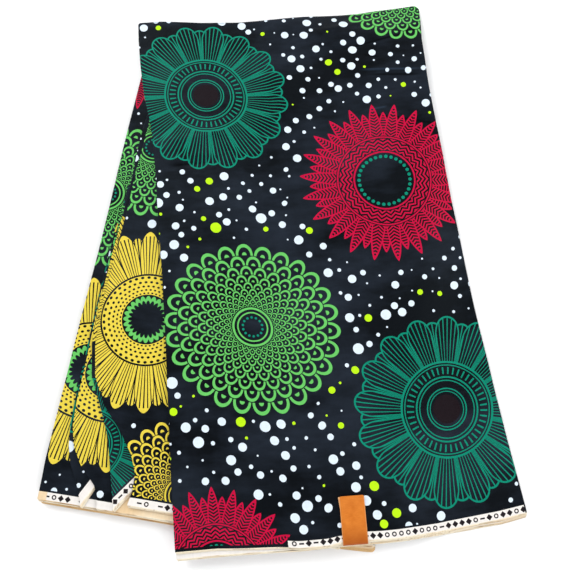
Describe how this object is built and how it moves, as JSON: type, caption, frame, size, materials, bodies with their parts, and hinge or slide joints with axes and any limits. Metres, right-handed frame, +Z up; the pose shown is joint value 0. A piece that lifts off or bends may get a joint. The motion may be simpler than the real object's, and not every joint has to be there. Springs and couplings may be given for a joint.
{
  "type": "folded wax-print fabric",
  "caption": "Length of doubled wax-print cotton folded into a long packet, fanned open at its left folds and lying flat, with a blank tab folded over the front hem.",
  "frame": {"origin": "middle of the heap's bounding box, on the surface it lies on", "axes": "+X to the right along the hem, +Y from the hem to the folded head, +Z up"},
  "size_m": [0.481, 0.626, 0.0179],
  "materials": {
    "printed_cotton": "waxed cotton, softly shining, printed in green, red and yellow on blue-black",
    "cloth_edges": "matt unprinted selvedge edges, layered",
    "tab_leather": "smooth tan, satin"
  },
  "bodies": {
    "root": {"stack_core": "cloth_edges", "stack_top_panel": "printed_cotton", "turned_corner_first": "printed_cotton", "fan_panel_first": "printed_cotton", "turned_corner_second": "printed_cotton", "fan_panel_second": "printed_cotton", "front_under_panel": "printed_cotton", "front_panel": "printed_cotton", "edge_label": "tab_leather"}
  },
  "joints": []
}
